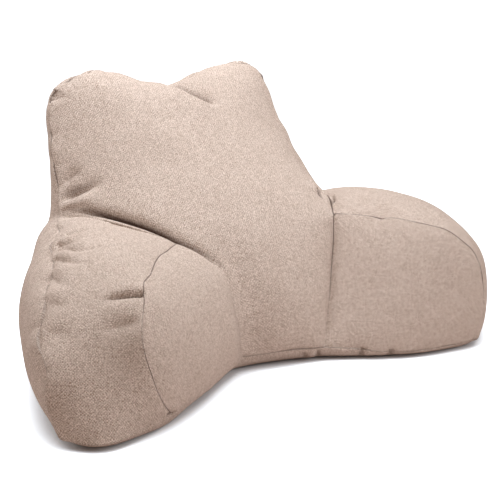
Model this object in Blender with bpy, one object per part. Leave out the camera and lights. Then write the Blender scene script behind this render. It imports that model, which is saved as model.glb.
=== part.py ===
# Reading pillow with arms: a stuffed backrest that leans back, with a stuffed arm sewn to each side.
# Run it with: blender --background --python part.py
#
# Metres, +Z up. -Y is the front, where the sitter's back goes, and +X is to the right of someone who
# faces that front. The origin is at the bottom centre of the pillow's box.
#
# The pillow is made as its maker cuts it. Flat panels of cloth meet in seams, and the filling pushes each
# panel out between its seams. The seams are fixed curves through the points of one table. Each panel starts
# as a film stretched between its seams, is blown out to its crown, and then takes its folds. Two walls
# inside part the filling into the backrest and the two arms, which are the three solids.

from collections import namedtuple

import bmesh
import bpy
import numpy as np
from mathutils import Vector

# ---------------------------------------------------------------- sizes

SEAM_GAP = 0.0004  # how far an arm stands off the backrest, where the two are sewn together
WELD = 1e-5  # panels that share a seam have the same points along it
CURVE_STEPS = 20  # short lengths a seam's curve is worked out in, from one named point to the next
RELAX_STEPS = 700  # enough for the film to come to rest on the longest panel

# Cells along each kind of seam. Neighbouring panels share these counts.
CELLS = {
    "rise": 12,  # up an arm, from the floor to its top
    "across": 11,  # across an arm
    "reach": 14,  # along an arm, from the backrest to its brow
    "side": 14,  # up the backrest's side, from the shoulder to the ear
    "width": 24,  # across the backrest
}

# How far the filling pushes each cloth out at its middle. The smaller its shape, the faster it rises from
# its seams.
Crown = namedtuple("Crown", "cloth height shape")
CROWNS = (
    Crown("front", 0.054, 0.62),
    Crown("back", 0.096, 0.68),
    Crown("inner_left", 0.030, 0.70),
    Crown("inner_right", 0.024, 0.70),
    Crown("strip_left", 0.025, 0.70),
    Crown("strip_right", 0.026, 0.70),
)
CROWN_BLEND = 6  # steps that even out the ways in which neighbouring points are pushed
HEM_ROLL = 0.012  # how far inside its hems the base meets the floor

# Where the filling has bunched and swells a cloth out further, with how far it reaches along X, Y and Z.
Swelling = namedtuple("Swelling", "cloth middle reach height")
SWELLINGS = (
    # behind and below each ear
    Swelling("back", (-0.125, 0.190, 0.355), (0.100, 0.150, 0.065), 0.025),
    Swelling("back", (0.130, 0.190, 0.355), (0.100, 0.150, 0.065), 0.025),
    # in front of each ear
    Swelling("front", (-0.130, 0.120, 0.385), (0.055, 0.080, 0.040), 0.009),
    Swelling("front", (0.145, 0.125, 0.385), (0.055, 0.080, 0.040), 0.008),
    # in the left arm's outer side, near the back
    Swelling("back", (-0.380, -0.020, 0.125), (0.080, 0.100, 0.070), 0.005),
)

# The main creases. Each is deepest at its start and fades out at its end.
Fold = namedtuple("Fold", "cloth start end width depth")
FOLDS = (
    # pinched down from the dip in the top edge
    Fold("front", (-0.012, 0.130, 0.388), (0.080, 0.075, 0.352), 0.017, 0.012),
    # fanning out of the left shoulder
    Fold("front", (-0.246, 0.058, 0.240), (-0.205, 0.062, 0.300), 0.014, 0.006),
    Fold("front", (-0.240, 0.048, 0.234), (-0.150, 0.010, 0.275), 0.014, 0.006),
    # out of the right shoulder
    Fold("front", (0.235, 0.035, 0.214), (0.150, -0.030, 0.240), 0.014, 0.006),
    # gathered at the brow of the left arm
    Fold("strip_left", (-0.316, -0.257, 0.182), (-0.370, -0.232, 0.171), 0.012, 0.007),
    Fold("strip_left", (-0.332, -0.290, 0.150), (-0.390, -0.262, 0.138), 0.016, 0.004),
    # a soft wrinkle down the inner side of the right arm
    Fold("inner_right", (0.196, -0.172, 0.190), (0.146, -0.182, 0.150), 0.014, 0.006),
)

LINEN = (0.610, 0.485, 0.413)  # beige with some pink, linear
LINEN_ROUGHNESS = 0.9

# ---------------------------------------------------------------- seams

SIDES = ("left", "right")

# Where the seams run. The pillow is soft, and its two arms lie a little differently.
SeamPoint = namedtuple("SeamPoint", "name left right")
SEAM_POINTS = (
    # the front panel's outline
    SeamPoint("foot", (-0.074, -0.161, 0.025), (0.056, -0.195, 0.022)),
    SeamPoint("root_low", (-0.073, -0.151, 0.080), (0.098, -0.156, 0.095)),
    SeamPoint("root_high", (-0.095, -0.139, 0.150), (0.134, -0.121, 0.163)),
    SeamPoint("crook", (-0.148, -0.108, 0.192), (0.146, -0.107, 0.200)),
    SeamPoint("crease", (-0.205, -0.030, 0.212), (0.203, -0.030, 0.206)),
    SeamPoint("shoulder", (-0.253, 0.050, 0.222), (0.250, 0.050, 0.206)),
    SeamPoint("side_low", (-0.242, 0.075, 0.262), (0.231, 0.075, 0.250)),
    SeamPoint("side_middle", (-0.230, 0.100, 0.317), (0.212, 0.100, 0.306)),
    SeamPoint("side_high", (-0.218, 0.128, 0.365), (0.205, 0.130, 0.358)),
    SeamPoint("ear", (-0.199, 0.142, 0.398), (0.205, 0.147, 0.395)),
    SeamPoint("top_corner", (-0.159, 0.150, 0.417), (0.179, 0.154, 0.416)),
    SeamPoint("top_outer", (-0.113, 0.154, 0.419), (0.135, 0.157, 0.420)),
    SeamPoint("top_inner", (-0.062, 0.155, 0.406), (0.070, 0.157, 0.406)),
    # an arm's inner side panel, along its top and down its front
    SeamPoint("inner_top", (-0.222, -0.170, 0.196), (0.200, -0.172, 0.199)),
    SeamPoint("inner_brow", (-0.300, -0.248, 0.188), (0.258, -0.244, 0.185)),
    SeamPoint("inner_temple", (-0.327, -0.287, 0.161), (0.284, -0.272, 0.155)),
    SeamPoint("inner_front", (-0.338, -0.305, 0.125), (0.294, -0.288, 0.112)),
    SeamPoint("inner_shin", (-0.322, -0.308, 0.062), (0.297, -0.291, 0.055)),
    SeamPoint("inner_toe", (-0.286, -0.287, 0.020), (0.286, -0.288, 0.014)),
    # an arm's outer side, along its top and down its front
    SeamPoint("outer_top", (-0.318, -0.050, 0.200), (0.312, -0.012, 0.203)),
    SeamPoint("outer_brow", (-0.400, -0.165, 0.172), (0.378, -0.095, 0.187)),
    SeamPoint("outer_front", (-0.444, -0.235, 0.112), (0.416, -0.158, 0.118)),
    SeamPoint("outer_shin", (-0.450, -0.256, 0.055), (0.398, -0.178, 0.055)),
    SeamPoint("outer_toe", (-0.440, -0.268, 0.014), (0.390, -0.180, 0.014)),
    # just above the floor, from the front round the outside to the back
    SeamPoint("inner_hem", (-0.178, -0.220, 0.012), (0.168, -0.266, 0.011)),
    SeamPoint("toe_middle", (-0.393, -0.310, 0.012), (0.355, -0.228, 0.014)),
    SeamPoint("outer_hem", (-0.340, -0.070, 0.016), (0.350, -0.030, 0.016)),
    SeamPoint("heel", (-0.262, 0.105, 0.016), (0.262, 0.105, 0.016)),
    SeamPoint("back_hem", (-0.120, 0.155, 0.016), (0.120, 0.155, 0.016)),
    # where an arm's outer side turns into the back
    SeamPoint("outer_root", (-0.295, 0.085, 0.110), (0.290, 0.085, 0.110)),
)
TOP_DIP = (0.012, 0.140, 0.384)  # the top edge sags between the two ears


def smooth_curve(through):
    """A dense Catmull-Rom curve through the points."""
    through = np.array(through, float)
    before = 2 * through[0] - through[1]
    after = 2 * through[-1] - through[-2]
    padded = np.vstack([before, through, after])
    curve = [through[0]]
    for p0, p1, p2, p3 in zip(padded, padded[1:], padded[2:], padded[3:]):
        for t in np.arange(1, CURVE_STEPS + 1) / CURVE_STEPS:
            straight = 2 * p1 + (p2 - p0) * t
            bend = (2 * p0 - 5 * p1 + 4 * p2 - p3) * t**2
            twist = (3 * p1 - p0 - 3 * p2 + p3) * t**3
            curve.append((straight + bend + twist) / 2)
    return np.array(curve)


def seam(through, cells):
    """Points on a smooth curve through the given ones, the same distance apart."""
    curve = smooth_curve(through)
    steps = np.linalg.norm(np.diff(curve, axis=0), axis=1)
    along = np.concatenate([[0], np.cumsum(steps)])
    wanted = np.linspace(0, along[-1], cells + 1)
    return np.stack([np.interp(wanted, along, curve[:, axis]) for axis in range(3)], axis=1)


def side_seams(side):
    """The seams of one side of the pillow, by name."""
    point = {row.name: getattr(row, side) for row in SEAM_POINTS}

    def run(names, kind):
        return seam([point[name] for name in names.split()], CELLS[kind])

    return {
        "root_front": run("foot root_low root_high crook", "rise"),
        "root_top": run("crook crease shoulder", "across"),
        "side": run("shoulder side_low side_middle side_high ear", "side"),
        "inner_top": run("crook inner_top inner_brow", "reach"),
        "inner_front": run("inner_brow inner_temple inner_front inner_shin inner_toe", "rise"),
        "inner_hem": run("foot inner_hem inner_toe", "reach"),
        "outer_top": run("shoulder outer_top outer_brow", "reach"),
        "outer_front": run("outer_brow outer_front outer_shin outer_toe", "rise"),
        "outer_hem": run("heel outer_hem outer_toe", "reach"),
        "toe": run("inner_toe toe_middle outer_toe", "across"),
        "root_back": run("heel outer_root shoulder", "rise"),
        "root_base": run("foot heel", "across"),
    }


def shared_seams():
    """The seams that run from the left of the pillow to its right, by name."""
    left = {row.name: row.left for row in SEAM_POINTS}
    right = {row.name: row.right for row in SEAM_POINTS}
    to_dip = ("ear", "top_corner", "top_outer", "top_inner")
    top = [left[name] for name in to_dip] + [TOP_DIP] + [right[name] for name in to_dip[::-1]]
    back = [left["heel"], left["back_hem"], right["back_hem"], right["heel"]]
    return {
        "top": seam(top, CELLS["width"]),
        "front_hem": seam([left["foot"], right["foot"]], CELLS["width"]),
        "back_hem": seam(back, CELLS["width"]),
    }


def joined(*curves):
    """Seams that follow each other, as one."""
    return np.vstack([curves[0]] + [curve[1:] for curve in curves[1:]])


# ---------------------------------------------------------------- panels

CHAMBERS = ("backrest", "arm_left", "arm_right")
WALLS = {"wall_left": "arm_left", "wall_right": "arm_right"}

# A stretch of cloth between four seams. bottom and top run the same way, and so do left and right.
Panel = namedtuple("Panel", "cloth chamber bottom top left right")


def pillow_panels():
    """Every panel of the cover, and the two walls between the arms and the backrest."""
    shared = shared_seams()
    sides = {side: side_seams(side) for side in SIDES}
    front = [joined(s["root_front"], s["root_top"], s["side"]) for s in sides.values()]
    back = [joined(s["root_back"], s["side"]) for s in sides.values()]
    base = [s["root_base"] for s in sides.values()]
    panels = [
        Panel("front", "backrest", shared["front_hem"], shared["top"], *front),
        Panel("back", "backrest", shared["back_hem"], shared["top"], *back),
        Panel("base", "backrest", shared["front_hem"], shared["back_hem"], *base),
    ]
    for side, s in sides.items():
        arm = "arm_" + side
        inner, outer = s["inner_front"][::-1], s["outer_front"][::-1]
        over_inner = joined(s["inner_top"], s["inner_front"])
        over_outer = joined(s["outer_top"], s["outer_front"])
        panels += [
            Panel("inner_" + side, arm, s["inner_hem"], s["inner_top"], s["root_front"], inner),
            Panel("strip_" + side, arm, over_inner, over_outer, s["root_top"], s["toe"]),
            # the back panel runs on round the pillow as the arms' outer sides
            Panel("back", arm, s["outer_hem"], s["outer_top"], s["root_back"], outer),
            Panel("base", arm, s["inner_hem"], s["outer_hem"], s["root_base"], s["toe"]),
            Panel("wall_" + side, arm, s["root_base"], s["root_top"], s["root_front"], s["root_back"]),
        ]
    return panels


def add_panel(bm, panel, cloth, chamber):
    """A grid of cells that fills the panel's outline, with its cloth and chamber noted on each cell."""
    columns, rows = len(panel.bottom) - 1, len(panel.left) - 1
    made = bmesh.ops.create_grid(bm, x_segments=columns, y_segments=rows, size=0.5)
    for face in {face for vert in made["verts"] for face in vert.link_faces}:
        face[bm.faces.layers.int["cloth"]] = cloth
        face[bm.faces.layers.int["chamber"]] = chamber
    for vert in made["verts"]:
        i = round((vert.co.x + 0.5) * columns)
        j = round((vert.co.y + 0.5) * rows)
        u, v = i / columns, j / rows
        across = (1 - u) * panel.left[j] + u * panel.right[j]
        up = (1 - v) * panel.bottom[i] + v * panel.top[i]
        low = (1 - u) * panel.bottom[0] + u * panel.bottom[-1]
        high = (1 - u) * panel.top[0] + u * panel.top[-1]
        vert.co = Vector(across + up - (1 - v) * low - v * high)


def sewn_panels():
    """One mesh of every panel and wall, sewn together, and the names of its cloths."""
    panels = pillow_panels()
    cloths = sorted({panel.cloth for panel in panels})
    bm = bmesh.new()
    bm.faces.layers.int.new("cloth")
    bm.faces.layers.int.new("chamber")
    for panel in panels:
        add_panel(bm, panel, cloths.index(panel.cloth), CHAMBERS.index(panel.chamber))
    bmesh.ops.remove_doubles(bm, verts=bm.verts, dist=WELD)
    return bm, cloths


# ---------------------------------------------------------------- filling


def relaxed(values, faces, free, source=0.0, steps=RELAX_STEPS):
    """values, with each free point at the mean of its neighbours in these faces, plus the source."""
    edges = {edge for face in faces for edge in face.edges}
    pairs = np.array(sorted(tuple(vert.index for vert in edge.verts) for edge in edges))
    here, there = np.vstack([pairs, pairs[:, ::-1]]).T
    count = np.maximum(np.bincount(here, minlength=len(values)), 1)
    values = values.copy()
    for _ in range(steps):
        for axis in range(values.shape[1]):
            total = np.bincount(here, weights=values[there, axis], minlength=len(values))
            values[free, axis] = (total / count + source)[free]
    return values


def move_points(bm, points):
    for vert, point in zip(bm.verts, points):
        vert.co = Vector(point)


def ways_out(bm, points, walls):
    """The way out of the cover at each point, with the walls left out and sharp turns evened out."""
    cover = bm.copy()
    move_points(cover, points)
    cloth = cover.faces.layers.int["cloth"]
    inside = [face for face in cover.faces if face[cloth] in walls]
    bmesh.ops.delete(cover, geom=inside, context="FACES_ONLY")
    bmesh.ops.recalc_face_normals(cover, faces=cover.faces)
    cover.normal_update()
    normals = np.array([vert.normal for vert in cover.verts])
    normals = relaxed(normals, cover.faces, np.full(len(normals), True), steps=CROWN_BLEND)
    cover.free()
    return normals / np.maximum(np.linalg.norm(normals, axis=1, keepdims=True), WELD)


def lay_base(bm, points, base, on_seam):
    """Lays the base flat on the floor, from a little inside its hems."""
    points[base, 2] = 0
    for vert in bm.verts:
        beside = [edge.other_vert(vert).index for edge in vert.link_edges]
        hems = [index for index in beside if on_seam[index]]
        if base[vert.index] and hems:
            hem = points[hems].mean(axis=0) * (1, 1, 0)
            inward = points[vert.index] - hem
            points[vert.index] = hem + inward * (HEM_ROLL / np.linalg.norm(inward))


def swollen_by(swelling, points):
    """How far the swelling lifts each point of its cloth."""
    off = (points - np.array(swelling.middle)) / np.array(swelling.reach)
    return swelling.height * np.exp(-((off**2).sum(axis=1)))


def sunk_by(fold, points):
    """How far the fold sinks each point into its cloth."""
    start, run = np.array(fold.start), np.subtract(fold.end, fold.start)
    along = np.clip((points - start) @ run / (run @ run), 0, 1)
    off = np.linalg.norm(points - start - along[:, None] * run, axis=1)
    return fold.depth * (1 - along) * np.exp(-((off / fold.width) ** 2))


def fill_out(bm, cloths):
    """Stretches each panel between its seams, pushes it out as the filling does, and folds it."""
    for part in (bm.verts, bm.edges, bm.faces):
        part.index_update()
        part.ensure_lookup_table()
    layer = bm.faces.layers.int["cloth"]
    walls = {cloths.index(name) for name in WALLS}
    cover = [face for face in bm.faces if face[layer] not in walls]
    inside = [face for face in bm.faces if face[layer] in walls]
    touching = [{face[layer] for face in vert.link_faces} - walls for vert in bm.verts]
    cloth_at = np.array([min(found) if found else -1 for found in touching])
    free = np.array([len(found) == 1 for found in touching])
    on_seam = np.array([len(found) > 1 for found in touching])

    points = relaxed(np.array([vert.co for vert in bm.verts]), cover, free)
    fullness = relaxed(np.zeros((len(points), 1)), cover, free, source=1.0)[:, 0]
    push = np.zeros(len(points))
    for crown in CROWNS:
        panel = free & (cloth_at == cloths.index(crown.cloth))
        share = fullness[panel] / fullness[panel].max()
        push[panel] = crown.height * share**crown.shape
    outwards = ways_out(bm, points, walls)
    points += outwards * push[:, None]
    lift = np.zeros(len(points))
    for swelling in SWELLINGS:
        lift += (free & (cloth_at == cloths.index(swelling.cloth))) * swollen_by(swelling, points)
    for fold in FOLDS:
        lift -= (free & (cloth_at == cloths.index(fold.cloth))) * sunk_by(fold, points)
    points += outwards * lift[:, None]
    points[:, 2] = np.maximum(points[:, 2], 0)
    lay_base(bm, points, free & (cloth_at == cloths.index("base")), on_seam)

    points = relaxed(points, inside, ~free & ~on_seam)
    middle = (points.min(axis=0) + points.max(axis=0)) / 2
    points[:, :2] -= middle[:2]
    move_points(bm, points)


# ---------------------------------------------------------------- chambers


def linen(name):
    """The cover's cloth: a matt plain weave."""
    material = bpy.data.materials.new(name)
    material.use_nodes = True
    shader = material.node_tree.nodes["Principled BSDF"]
    shader.inputs["Base Color"].default_value = (*LINEN, 1)
    shader.inputs["Roughness"].default_value = LINEN_ROUGHNESS
    shader.inputs["Metallic"].default_value = 0.0
    return material


def add_chamber(bm, cloths, name, pillow):
    """One filled chamber as its own closed object, standing on its bottom centre."""
    piece = bm.copy()
    cloth, chamber = piece.faces.layers.int["cloth"], piece.faces.layers.int["chamber"]
    own = CHAMBERS.index(name)
    shared = {cloths.index(wall) for wall, arm in WALLS.items() if name in ("backrest", arm)}
    other = [face for face in piece.faces if face[chamber] != own and face[cloth] not in shared]
    bmesh.ops.delete(piece, geom=other, context="FACES")
    bmesh.ops.recalc_face_normals(piece, faces=piece.faces)

    corners = np.array([vert.co for vert in piece.verts])
    low, high = corners.min(axis=0), corners.max(axis=0)
    stand = Vector(((low[0] + high[0]) / 2, (low[1] + high[1]) / 2, low[2]))
    bmesh.ops.translate(piece, verts=piece.verts, vec=-stand)
    mesh = bpy.data.meshes.new(name)
    piece.to_mesh(mesh)
    piece.free()
    mesh.shade_smooth()
    mesh.materials.append(linen(name + "_linen"))

    solid = bpy.data.objects.new(name, mesh)
    solid.location = stand
    solid.parent = pillow
    bpy.context.scene.collection.objects.link(solid)
    return solid


def main():
    for item in list(bpy.data.objects):
        bpy.data.objects.remove(item, do_unlink=True)
    pillow = bpy.data.objects.new("reading_pillow", None)
    bpy.context.scene.collection.objects.link(pillow)

    bm, cloths = sewn_panels()
    fill_out(bm, cloths)
    # cut every cell the same way for the chambers on both sides of a wall
    bmesh.ops.triangulate(bm, faces=bm.faces)
    for name in CHAMBERS:
        solid = add_chamber(bm, cloths, name, pillow)
        if name != "backrest":
            away = Vector((solid.location.x, solid.location.y, 0)).normalized()
            solid.location += away * SEAM_GAP
    bm.free()


main()
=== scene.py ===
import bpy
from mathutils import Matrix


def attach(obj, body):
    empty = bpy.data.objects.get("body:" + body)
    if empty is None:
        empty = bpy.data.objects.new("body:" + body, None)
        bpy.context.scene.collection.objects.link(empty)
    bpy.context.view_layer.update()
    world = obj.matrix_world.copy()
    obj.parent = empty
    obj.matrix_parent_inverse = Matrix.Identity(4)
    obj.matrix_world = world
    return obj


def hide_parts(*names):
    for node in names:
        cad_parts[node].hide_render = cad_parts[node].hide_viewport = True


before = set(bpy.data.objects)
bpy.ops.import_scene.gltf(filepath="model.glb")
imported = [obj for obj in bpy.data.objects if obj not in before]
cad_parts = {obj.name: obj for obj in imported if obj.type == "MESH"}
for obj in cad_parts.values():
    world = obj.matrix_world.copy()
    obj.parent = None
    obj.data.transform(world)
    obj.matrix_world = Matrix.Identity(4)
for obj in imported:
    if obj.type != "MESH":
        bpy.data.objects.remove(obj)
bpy.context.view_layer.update()        # the three packed chambers of the pillow, in metres

import math

import bmesh
import bpy
import numpy as np
from mathutils import Vector, noise
from mathutils.kdtree import KDTree

scene = bpy.context.scene

# The seams' own points, on the pillow's left and on its right, in metres from the drafting mark on the floor.
# -Y is the front. The whole pillow moves onto the chambers' centre once it is filled.
seamPoints = {
    "foot": ((-0.074, -0.161, 0.025), (0.056, -0.195, 0.022)),
    "rootLow": ((-0.073, -0.151, 0.080), (0.098, -0.156, 0.095)),
    "rootHigh": ((-0.095, -0.139, 0.150), (0.134, -0.121, 0.163)),
    "crook": ((-0.148, -0.108, 0.192), (0.146, -0.107, 0.200)),
    "crease": ((-0.205, -0.030, 0.212), (0.203, -0.030, 0.213)),
    "shoulder": ((-0.253, 0.050, 0.222), (0.250, 0.050, 0.206)),
    "sideLow": ((-0.245, 0.075, 0.262), (0.234, 0.075, 0.250)),
    "sideMiddle": ((-0.233, 0.100, 0.317), (0.217, 0.100, 0.306)),
    "sideHigh": ((-0.224, 0.128, 0.366), (0.208, 0.130, 0.358)),
    "ear": ((-0.206, 0.140, 0.400), (0.206, 0.147, 0.396)),
    "topCorner": ((-0.156, 0.140, 0.417), (0.179, 0.154, 0.417)),
    "topOuter": ((-0.113, 0.154, 0.421), (0.135, 0.157, 0.420)),
    "topInner": ((-0.062, 0.155, 0.408), (0.070, 0.157, 0.408)),
    "innerTop": ((-0.222, -0.170, 0.196), (0.200, -0.172, 0.199)),
    "innerBrow": ((-0.300, -0.248, 0.188), (0.258, -0.244, 0.185)),
    "innerTemple": ((-0.327, -0.287, 0.161), (0.284, -0.272, 0.155)),
    "innerFront": ((-0.338, -0.305, 0.125), (0.294, -0.288, 0.112)),
    "innerShin": ((-0.322, -0.308, 0.062), (0.297, -0.291, 0.055)),
    "innerToe": ((-0.286, -0.287, 0.020), (0.290, -0.287, 0.012)),
    "outerTop": ((-0.318, -0.050, 0.200), (0.312, -0.012, 0.203)),
    "outerBrow": ((-0.400, -0.165, 0.172), (0.378, -0.095, 0.187)),
    "outerFront": ((-0.444, -0.235, 0.112), (0.416, -0.158, 0.118)),
    "outerShin": ((-0.450, -0.256, 0.055), (0.398, -0.178, 0.055)),
    "outerToe": ((-0.440, -0.268, 0.014), (0.390, -0.180, 0.014)),
    "innerHem": ((-0.178, -0.220, 0.012), (0.168, -0.266, 0.011)),
    "toeMiddle": ((-0.393, -0.310, 0.012), (0.359, -0.228, 0.012)),
    "outerHem": ((-0.340, -0.070, 0.016), (0.350, -0.030, 0.016)),
    "heel": ((-0.262, 0.105, 0.016), (0.262, 0.105, 0.016)),
    "backHem": ((-0.120, 0.155, 0.016), (0.120, 0.155, 0.016)),
    "outerRoot": ((-0.295, 0.085, 0.110), (0.290, 0.085, 0.110)),
}
topDip = (0.012, 0.140, 0.387)  # the top edge sags between the two ears

# Each seam: the points it runs through, and its number of cells before subdivision
sideSeams = {
    "rootFront": ("foot rootLow rootHigh crook", 12),
    "rootTop": ("crook crease shoulder", 11),
    "side": ("shoulder sideLow sideMiddle sideHigh ear", 14),
    "innerTop": ("crook innerTop innerBrow", 14),
    "innerFront": ("innerBrow innerTemple innerFront innerShin innerToe", 12),
    "innerHem": ("foot innerHem innerToe", 14),
    "outerTop": ("shoulder outerTop outerBrow", 14),
    "outerFront": ("outerBrow outerFront outerShin outerToe", 12),
    "outerHem": ("heel outerHem outerToe", 14),
    "toe": ("innerToe toeMiddle outerToe", 11),
    "rootBack": ("heel outerRoot shoulder", 12),  # this one and the next aren't sewn: they part the grids,
    "rootBase": ("foot heel", 11),                # and the cloth runs on across them
}
widthCells = 24    # across the backrest
weldWithin = 1e-5  # panels have the points of their seams in common

cloths = ["front", "back", "base", "innerLeft", "innerRight", "stripLeft", "stripRight"]
softJoin = {"front", "innerLeft"}  # the seam between these two lies hidden in a soft valley

# How far the filling pushes each cloth out, and how fast it rises from the seams
fullness = {
    "front": {"height": 0.054, "shape": 0.62},
    "back": {"height": 0.096, "shape": 0.68},
    "innerLeft": {"height": 0.030, "shape": 0.70},
    "innerRight": {"height": 0.024, "shape": 0.70},
    "stripLeft": {"height": 0.025, "shape": 0.70},
    "stripRight": {"height": 0.026, "shape": 0.70},
}
filling = {
    "filmSteps": 700,   # until the stretched film is at rest
    "normalBlend": 6,   # evens out the ways in which neighbouring points are pushed
    "hemRoll": 0.012,   # how far inside its hems the base meets the floor,
    "sag": 0.012,       # and how much further out it does where the filling sags under the front hem
    "sagMiddle": (0.075, -0.205, 0.0),
    "sagReach": 0.060,
    "swellings": [      # cloth, middle, reach along X, Y and Z, height
        ("back", (-0.125, 0.190, 0.355), (0.100, 0.150, 0.065), 0.025),
        ("back", (0.130, 0.190, 0.355), (0.100, 0.150, 0.065), 0.025),
        ("front", (-0.130, 0.120, 0.385), (0.055, 0.080, 0.040), 0.009),
        ("front", (0.145, 0.125, 0.385), (0.055, 0.080, 0.040), 0.008),
        ("back", (-0.380, -0.020, 0.125), (0.080, 0.100, 0.070), 0.005),
        ("back", (-0.272, 0.060, 0.205), (0.040, 0.060, 0.050), 0.008),
        ("back", (-0.165, 0.165, 0.415), (0.035, 0.035, 0.030), 0.007),
        ("stripRight", (0.362, -0.205, 0.125), (0.045, 0.055, 0.035), 0.010),
    ],
}


def smoothCurve(through, steps=20):
    # a dense Catmull-Rom curve through the points
    through = np.array(through, float)
    ends = [2 * through[0] - through[1]], [2 * through[-1] - through[-2]]
    padded = np.vstack([ends[0], through, ends[1]])
    curve = [through[0]]
    for p0, p1, p2, p3 in zip(padded, padded[1:], padded[2:], padded[3:]):
        for t in np.arange(1, steps + 1) / steps:
            bend = (2 * p0 - 5 * p1 + 4 * p2 - p3) * t**2
            twist = (3 * p1 - p0 - 3 * p2 + p3) * t**3
            curve.append((2 * p1 + (p2 - p0) * t + bend + twist) / 2)
    return np.array(curve)


def evenly(curve, cells):
    # the same curve, as points the same distance apart
    along = np.append(0, np.cumsum(np.linalg.norm(np.diff(curve, axis=0), axis=1)))
    wanted = np.linspace(0, along[-1], cells + 1)
    return np.stack([np.interp(wanted, along, curve[:, axis]) for axis in range(3)], axis=1)


def layOutSeams():
    seams = {}
    for sideIndex, side in enumerate(("Left", "Right")):
        for name, (points, cells) in sideSeams.items():
            through = [seamPoints[point][sideIndex] for point in points.split()]
            seams[name + side] = evenly(smoothCurve(through), cells)
    toDip = ("ear", "topCorner", "topOuter", "topInner")
    top = [seamPoints[name][0] for name in toDip] + [topDip] + [seamPoints[name][1] for name in toDip[::-1]]
    back = [seamPoints["heel"][0], *seamPoints["backHem"], seamPoints["heel"][1]]
    seams["top"] = evenly(smoothCurve(top), widthCells)
    seams["backHem"] = evenly(smoothCurve(back), widthCells)
    seams["frontHem"] = evenly(smoothCurve(seamPoints["foot"]), widthCells)
    return seams


def endToEnd(seams, *names):
    curves = [seams[name] for name in names]
    return np.vstack([curves[0]] + [curve[1:] for curve in curves[1:]])


def addPanel(bm, cloth, bottom, top, left, right):
    # one grid of cloth between four seams, with its cloth noted on each face
    columns, rows = len(bottom) - 1, len(left) - 1
    made = bmesh.ops.create_grid(bm, x_segments=columns, y_segments=rows, size=0.5)
    layer = bm.faces.layers.int["cloth"]
    for face in {face for vert in made["verts"] for face in vert.link_faces}:
        face[layer] = cloth
    for vert in made["verts"]:
        i, j = round((vert.co.x + 0.5) * columns), round((vert.co.y + 0.5) * rows)
        u, v = i / columns, j / rows
        across = (1 - u) * left[j] + u * right[j]
        up = (1 - v) * bottom[i] + v * top[i]
        low = (1 - u) * bottom[0] + u * bottom[-1]
        high = (1 - u) * top[0] + u * top[-1]
        vert.co = Vector(across + up - (1 - v) * low - v * high)


def sewPanels(seams):
    # every panel of the cover in one bmesh, sewn where the panels meet
    bm = bmesh.new()
    layer = bm.faces.layers.int.new("cloth")

    def panel(cloth, bottom, top, left, right):
        addPanel(bm, cloths.index(cloth), bottom, top, left, right)

    def both(*names):
        return [endToEnd(seams, *[name + side for name in names]) for side in ("Left", "Right")]

    panel("front", seams["frontHem"], seams["top"], *both("rootFront", "rootTop", "side"))
    panel("back", seams["backHem"], seams["top"], *both("rootBack", "side"))
    panel("base", seams["frontHem"], seams["backHem"], *both("rootBase"))
    for side in ("Left", "Right"):
        own = {name: seams[name + side] for name in sideSeams}
        overInner = endToEnd(own, "innerTop", "innerFront")
        overOuter = endToEnd(own, "outerTop", "outerFront")
        panel("inner" + side, own["innerHem"], own["innerTop"], own["rootFront"], own["innerFront"][::-1])
        panel("strip" + side, overInner, overOuter, own["rootTop"], own["toe"])
        panel("back", own["outerHem"], own["outerTop"], own["rootBack"], own["outerFront"][::-1])
        panel("base", own["innerHem"], own["outerHem"], own["rootBase"], own["toe"])
    bmesh.ops.remove_doubles(bm, verts=bm.verts, dist=weldWithin)
    bmesh.ops.recalc_face_normals(bm, faces=bm.faces)
    crease = bm.edges.layers.float.new("crease_edge")
    for edge in bm.edges:
        meeting = {cloths[face[layer]] for face in edge.link_faces}
        edge.seam = len(meeting) > 1
        edge[crease] = float(edge.seam and meeting != softJoin)
    return bm


def relaxed(values, pairs, free, steps, source=0.0):
    # each free value becomes the mean of its neighbours', plus the source
    here, there = np.vstack([pairs, pairs[:, ::-1]]).T
    count = np.maximum(np.bincount(here, minlength=len(values)), 1)
    values = values.copy()
    for _ in range(steps):
        for axis in range(values.shape[1]):
            total = np.bincount(here, weights=values[there, axis], minlength=len(values))
            values[free, axis] = (total / count + source)[free]
    return values


def unit(vectors):
    return vectors / np.maximum(np.linalg.norm(vectors, axis=1, keepdims=True), 1e-9)


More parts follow.
